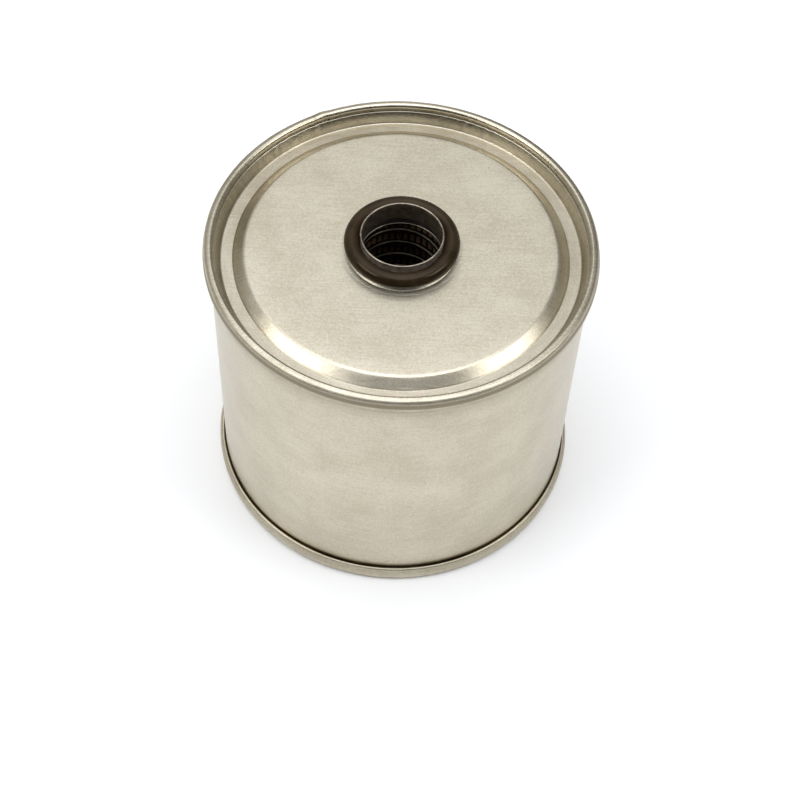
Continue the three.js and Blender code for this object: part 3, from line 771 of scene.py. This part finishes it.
def bottom_disc():
    low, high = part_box("bottom_end_disc")
    face = low.z + DIMPLE_DEPTH
    mid, rim = face + DISC_PLATE / 2, high.x - DISC_PLATE / 2
    middle = even(fillet([(rim, face + DISC_SKIRT, 0), (rim, mid, DISC_CORNER),
                          (BOSS_RADIUS + BOSS_SLOPE / 2, mid, 0.6 * MM),
                          (BOSS_RADIUS - BOSS_SLOPE / 2, mid - DIMPLE_DEPTH, 0.6 * MM),
                          (0, mid - DIMPLE_DEPTH, 0)]), 2 * MM)
    inside, outside = offset(middle, -DISC_PLATE / 2), offset(middle, DISC_PLATE / 2)
    outline = inside[::-1] + outside
    outline[0].x = outline[-1].x = 0
    return lathe("bottom_disc", outline, segments=192, closed=False)


def potting(name, node):
    low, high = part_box(node)
    return washer(name, POTTING_INNER, high.x, low.z, high.z, 0.4 * MM)


def pleats():
    low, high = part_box("filter_media")
    pitch = 2 * math.pi / PLEATS
    outer_half, inner_half = 0.6 * MM / PAPER_OUTER, pitch * 0.24
    fold_radius = 0.35 * MM
    corners = []
    for k in range(PLEATS):
        axis = k * pitch
        valley = axis + pitch / 2
        for radius, angle in ((PAPER_OUTER, axis - outer_half), (PAPER_OUTER, axis + outer_half),
                              (PAPER_INNER, valley - inner_half), (PAPER_INNER, valley + inner_half)):
            corners.append((radius * math.cos(angle), radius * math.sin(angle), fold_radius))
    line = []
    total = len(corners)
    for i in range(total):
        fold = [corners[i - 1], corners[i], corners[(i + 1) % total]]
        line += fillet(fold, steps=3)[1:-1]
    return extruded("pleated_paper", offset(line, -PAPER / 2, True), offset(line, PAPER / 2, True),
                    low.z, high.z, 6)


def seam_clip():
    low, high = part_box("media_seam_clip")
    side, back, depth, plate = 1.145 * MM, 36.945 * MM, 5 * MM, 0.35 * MM
    middle = fillet([(back - depth, -side, 0), (back, -side, 0.3 * MM), (back, side, 0.3 * MM),
                     (back - depth, side, 0)], steps=4)
    turn = Matrix.Rotation(CLIP_PLEAT * 2 * math.pi / PLEATS, 2)
    outline = [turn @ p for p in sheet(even(middle, 1 * MM), plate)]
    return extruded("pleat_clip", outline, None, low.z, high.z, 1)


def coil_points(radius, turns, steps, height):
    """The middle of a coiled wire, with steps points to a turn.
    height(turn) gives its height after that many turns."""
    return [(radius * math.cos(a), radius * math.sin(a), height(a / (2 * math.pi)))
            for a in np.linspace(0, turns * 2 * math.pi, round(turns * steps) + 1)]


def support_coil():
    low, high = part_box("support_coil")
    wire = 0.65 * MM
    start, end = low.z + wire, high.z - wire
    points = coil_points(COIL_RADIUS, (end - start) / COIL_PITCH, 48, lambda t: start + COIL_PITCH * t)
    return swept("core_coil", points, wire, 14)


def element_spring():
    low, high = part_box("element_spring")
    wire, dead, active = 0.9 * MM, 0.9, 1.6
    start, end = low.z + wire, high.z - wire
    open_pitch = (end - start - 2 * dead * SPRING_CLOSED_PITCH) / active

    def height(t):
        middle = min(max(t - dead, 0), active)
        return start + middle * open_pitch + (t - middle) * SPRING_CLOSED_PITCH
    return swept("element_spring_wire", coil_points(SPRING_RADIUS, 2 * dead + active, 72, height), wire, 20)


# ------------------------------------------------------------------ assembly


def install(obj, node, body, material):
    obj.data.materials.clear()
    obj.data.materials.append(material)
    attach(obj, body)
    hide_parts(node)
    return obj


end_tin, wall_tin = tinplate_flat(), tinplate_wall()
# Painted shade: the element's end discs get a darkened tin, as they sit in the shade inside the can.
shaded_disc_tin = steel_wire("disc_tin", (0.30, 0.27, 0.21, 1), (0.20, 0.175, 0.13, 1), 0.42)
seal_rubber = rubber("seal_rubber", (0.017, 0.011, 0.005, 1), (0.032, 0.020, 0.010, 1), 0.17)
gasket_rubber = rubber("gasket_rubber", (0.03, 0.027, 0.024, 1), (0.06, 0.055, 0.05, 1), 0.6)
lining = resin("seam_lining", (0.44, 0.43, 0.40, 1), (0.34, 0.33, 0.30, 1))
plastisol = resin("potting_resin", (0.62, 0.42, 0.18, 1), (0.48, 0.30, 0.11, 1))
# Painted shade: the coil wire is coloured near black, as it sits in the shade inside the neck.
coil_wire = steel_wire("coil_wire", (0.050, 0.042, 0.031, 1), (0.022, 0.018, 0.013, 1), 0.34)
spring_wire = steel_wire("spring_wire", (0.42, 0.41, 0.39, 1), (0.28, 0.27, 0.26, 1), 0.36)
paper_brown = paper()

install(can_body(), "can_body", "can", wall_tin)
install(top_end(), "top_end", "can", end_tin)
install(bottom_end(), "bottom_end", "can", end_tin)
install(compound("top_lining_ring", TOP_Z, -1), "top_seam_compound", "can", lining)
install(compound("bottom_lining_ring", 0, 1), "bottom_seam_compound", "can", lining)
install(outlet_neck(), "outlet_neck", "can", neck_tin())
install(neck_seal(), "neck_seal", "can", seal_rubber)
spring = install(element_spring(), "element_spring", "can", spring_wire)
install(gasket(), "neck_gasket", "element", gasket_rubber)
install(top_disc(), "top_end_disc", "element", shaded_disc_tin)
install(bottom_disc(), "bottom_end_disc", "element", shaded_disc_tin)
install(potting("top_potting_ring", "top_potting"), "top_potting", "element", plastisol)
install(potting("bottom_potting_ring", "bottom_potting"), "bottom_potting", "element", plastisol)
install(pleats(), "filter_media", "element", paper_brown)
install(seam_clip(), "media_seam_clip", "element", end_tin)
install(support_coil(), "support_coil", "element", coil_wire)

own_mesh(spring)

# ------------------------------------------------------------------ stage

# Brightness of the tent's regions.
FRONT_LIGHT = 0.03
BACK_LOW_LIGHT = 0.34
BACK_LIGHT = 0.60
TOP_LIGHT = 1.7
CROWN_LIGHT = 2.5


def camera():
    """The camera, which looks at the middle of the top crest's plane, turned a little off it."""
    elevation, distance = math.radians(49.43), 0.388
    yaw, pitch, roll = (math.radians(v) for v in (-0.19, 5.423, 2.73))
    forward = Vector((0, math.cos(elevation), -math.sin(elevation)))
    up = Vector((0, math.sin(elevation), math.cos(elevation)))
    rows = Matrix(((1, 0, 0), -up, forward))
    turn = (Matrix.Rotation(roll, 3, "Z") @ Matrix.Rotation(pitch, 3, "X") @ Matrix.Rotation(yaw, 3, "Y"))
    rows = turn @ rows
    data = bpy.data.cameras.new("camera")
    data.sensor_width, data.lens = 36, 75.36
    data.clip_start, data.clip_end = 0.01, 20
    cam = bpy.data.objects.new("camera", data)
    bpy.context.scene.collection.objects.link(cam)
    rotation = Matrix((rows[0], -rows[1], -rows[2])).transposed()
    cam.matrix_world = Matrix.Translation(Vector((0, 0, TOP_Z)) - forward * distance) @ rotation.to_4x4()
    bpy.context.scene.camera = cam


def floor():
    n = Nodes("pale_floor")
    tone = n.noise(n.place(), 3.0, 2.0, 0.5)
    colour = n.mix(n.ramp(tone, 0.3, 0.7), (0.90, 0.90, 0.895, 1), (0.93, 0.93, 0.925, 1))
    material = n.set(Base_Color=colour, Roughness=0.9)
    size = 4.0
    corners = [(-size, -size, 0), (size, -size, 0), (size, size, 0), (-size, size, 0)]
    obj = new_object("floor", corners, [[0, 1, 2, 3]])
    obj.data.materials.append(material)


def softbox(name, place, size, radiance, target=(0, 0, 0.06), in_mirrors=True):
    data = bpy.data.lights.new(name, "AREA")
    data.shape, data.size, data.size_y = "RECTANGLE", size[0], size[1]
    data.energy = radiance * math.pi * size[0] * size[1]
    light = bpy.data.objects.new(name, data)
    bpy.context.scene.collection.objects.link(light)
    light.location = place
    light.rotation_mode = "QUATERNION"
    light.rotation_quaternion = (Vector(target) - Vector(place)).to_track_quat("-Z", "Y")
    light.visible_glossy = in_mirrors
    return light


def surroundings():
    """A soft tent: bright overhead and behind, dim towards the camera's side."""
    world = bpy.data.worlds.new("studio")
    bpy.context.scene.world = world
    world.use_nodes = True
    tree = world.node_tree

    def add(kind, **settings):
        node = tree.nodes.new("ShaderNode" + kind)
        for key, value in settings.items():
            setattr(node, key, value)
        return node

    def ramp(value, low, high, to_low, to_high):
        node = add("MapRange", interpolation_type="SMOOTHSTEP")
        tree.links.new(value, node.inputs["Value"])
        for key, number in (("From Min", low), ("From Max", high), ("To Min", to_low), ("To Max", to_high)):
            if isinstance(number, bpy.types.NodeSocket):
                tree.links.new(number, node.inputs[key])
            else:
                node.inputs[key].default_value = number
        return node.outputs["Result"]

    split = add("SeparateXYZ")
    tree.links.new(add("TexCoord").outputs["Generated"], split.inputs[0])
    sides = ramp(split.outputs["X"], -0.25, 0.25, 0.92, 0.52)
    off_middle = add("Math", operation="ABSOLUTE")
    tree.links.new(split.outputs["X"], off_middle.inputs[0])
    lobe = add("Math", operation="ADD")
    tree.links.new(sides, lobe.inputs[0])
    tree.links.new(ramp(off_middle.outputs[0], 0.0, 0.14, 0.80, 0.0), lobe.inputs[1])
    back = ramp(split.outputs["Z"], 0.70, 0.84, BACK_LIGHT, TOP_LIGHT)
    back = ramp(split.outputs["Z"], 0.05, 0.50, BACK_LOW_LIGHT, back)
    shaped = add("Math", operation="MULTIPLY")
    tree.links.new(back, shaped.inputs[0])
    tree.links.new(lobe.outputs[0], shaped.inputs[1])
    back = shaped.outputs[0]
    level = ramp(split.outputs["Y"], -0.35, 0.3, FRONT_LIGHT, back)
    level = ramp(split.outputs["Z"], 0.82, 0.91, level, TOP_LIGHT)
    level = ramp(split.outputs["Z"], 0.86, 0.94, level, CROWN_LIGHT)
    cool = add("Mix", data_type="RGBA")
    tree.links.new(ramp(split.outputs["Z"], 0.6, 0.95, 0.0, 1.0), cool.inputs[0])
    cool.inputs[6].default_value, cool.inputs[7].default_value = (1.0, 1.0, 0.98, 1), (1.0, 1.03, 1.10, 1)
    background = tree.nodes["Background"]
    tree.links.new(cool.outputs[2], background.inputs["Color"])
    tree.links.new(level, background.inputs["Strength"])


def around(azimuth, elevation, distance):
    """A point at a distance from the can's axis 70 mm up, with the azimuth from +X towards +Y."""
    a, e = math.radians(azimuth), math.radians(elevation)
    level = distance * math.cos(e)
    return (level * math.cos(a), level * math.sin(a), 0.07 + distance * math.sin(e))


camera()
floor()
surroundings()
softbox("left_softbox", around(-157, 43, 1.0), (0.58, 0.34), 5.0)
softbox("right_softbox", around(-14, 42, 1.0), (0.50, 0.34), 5.0)
softbox("floor_fill", (0, -0.1, 1.6), (2.4, 2.4), 0.33, target=(0, -0.1, 0), in_mirrors=False)
bpy.context.scene.view_settings.view_transform = "Standard"
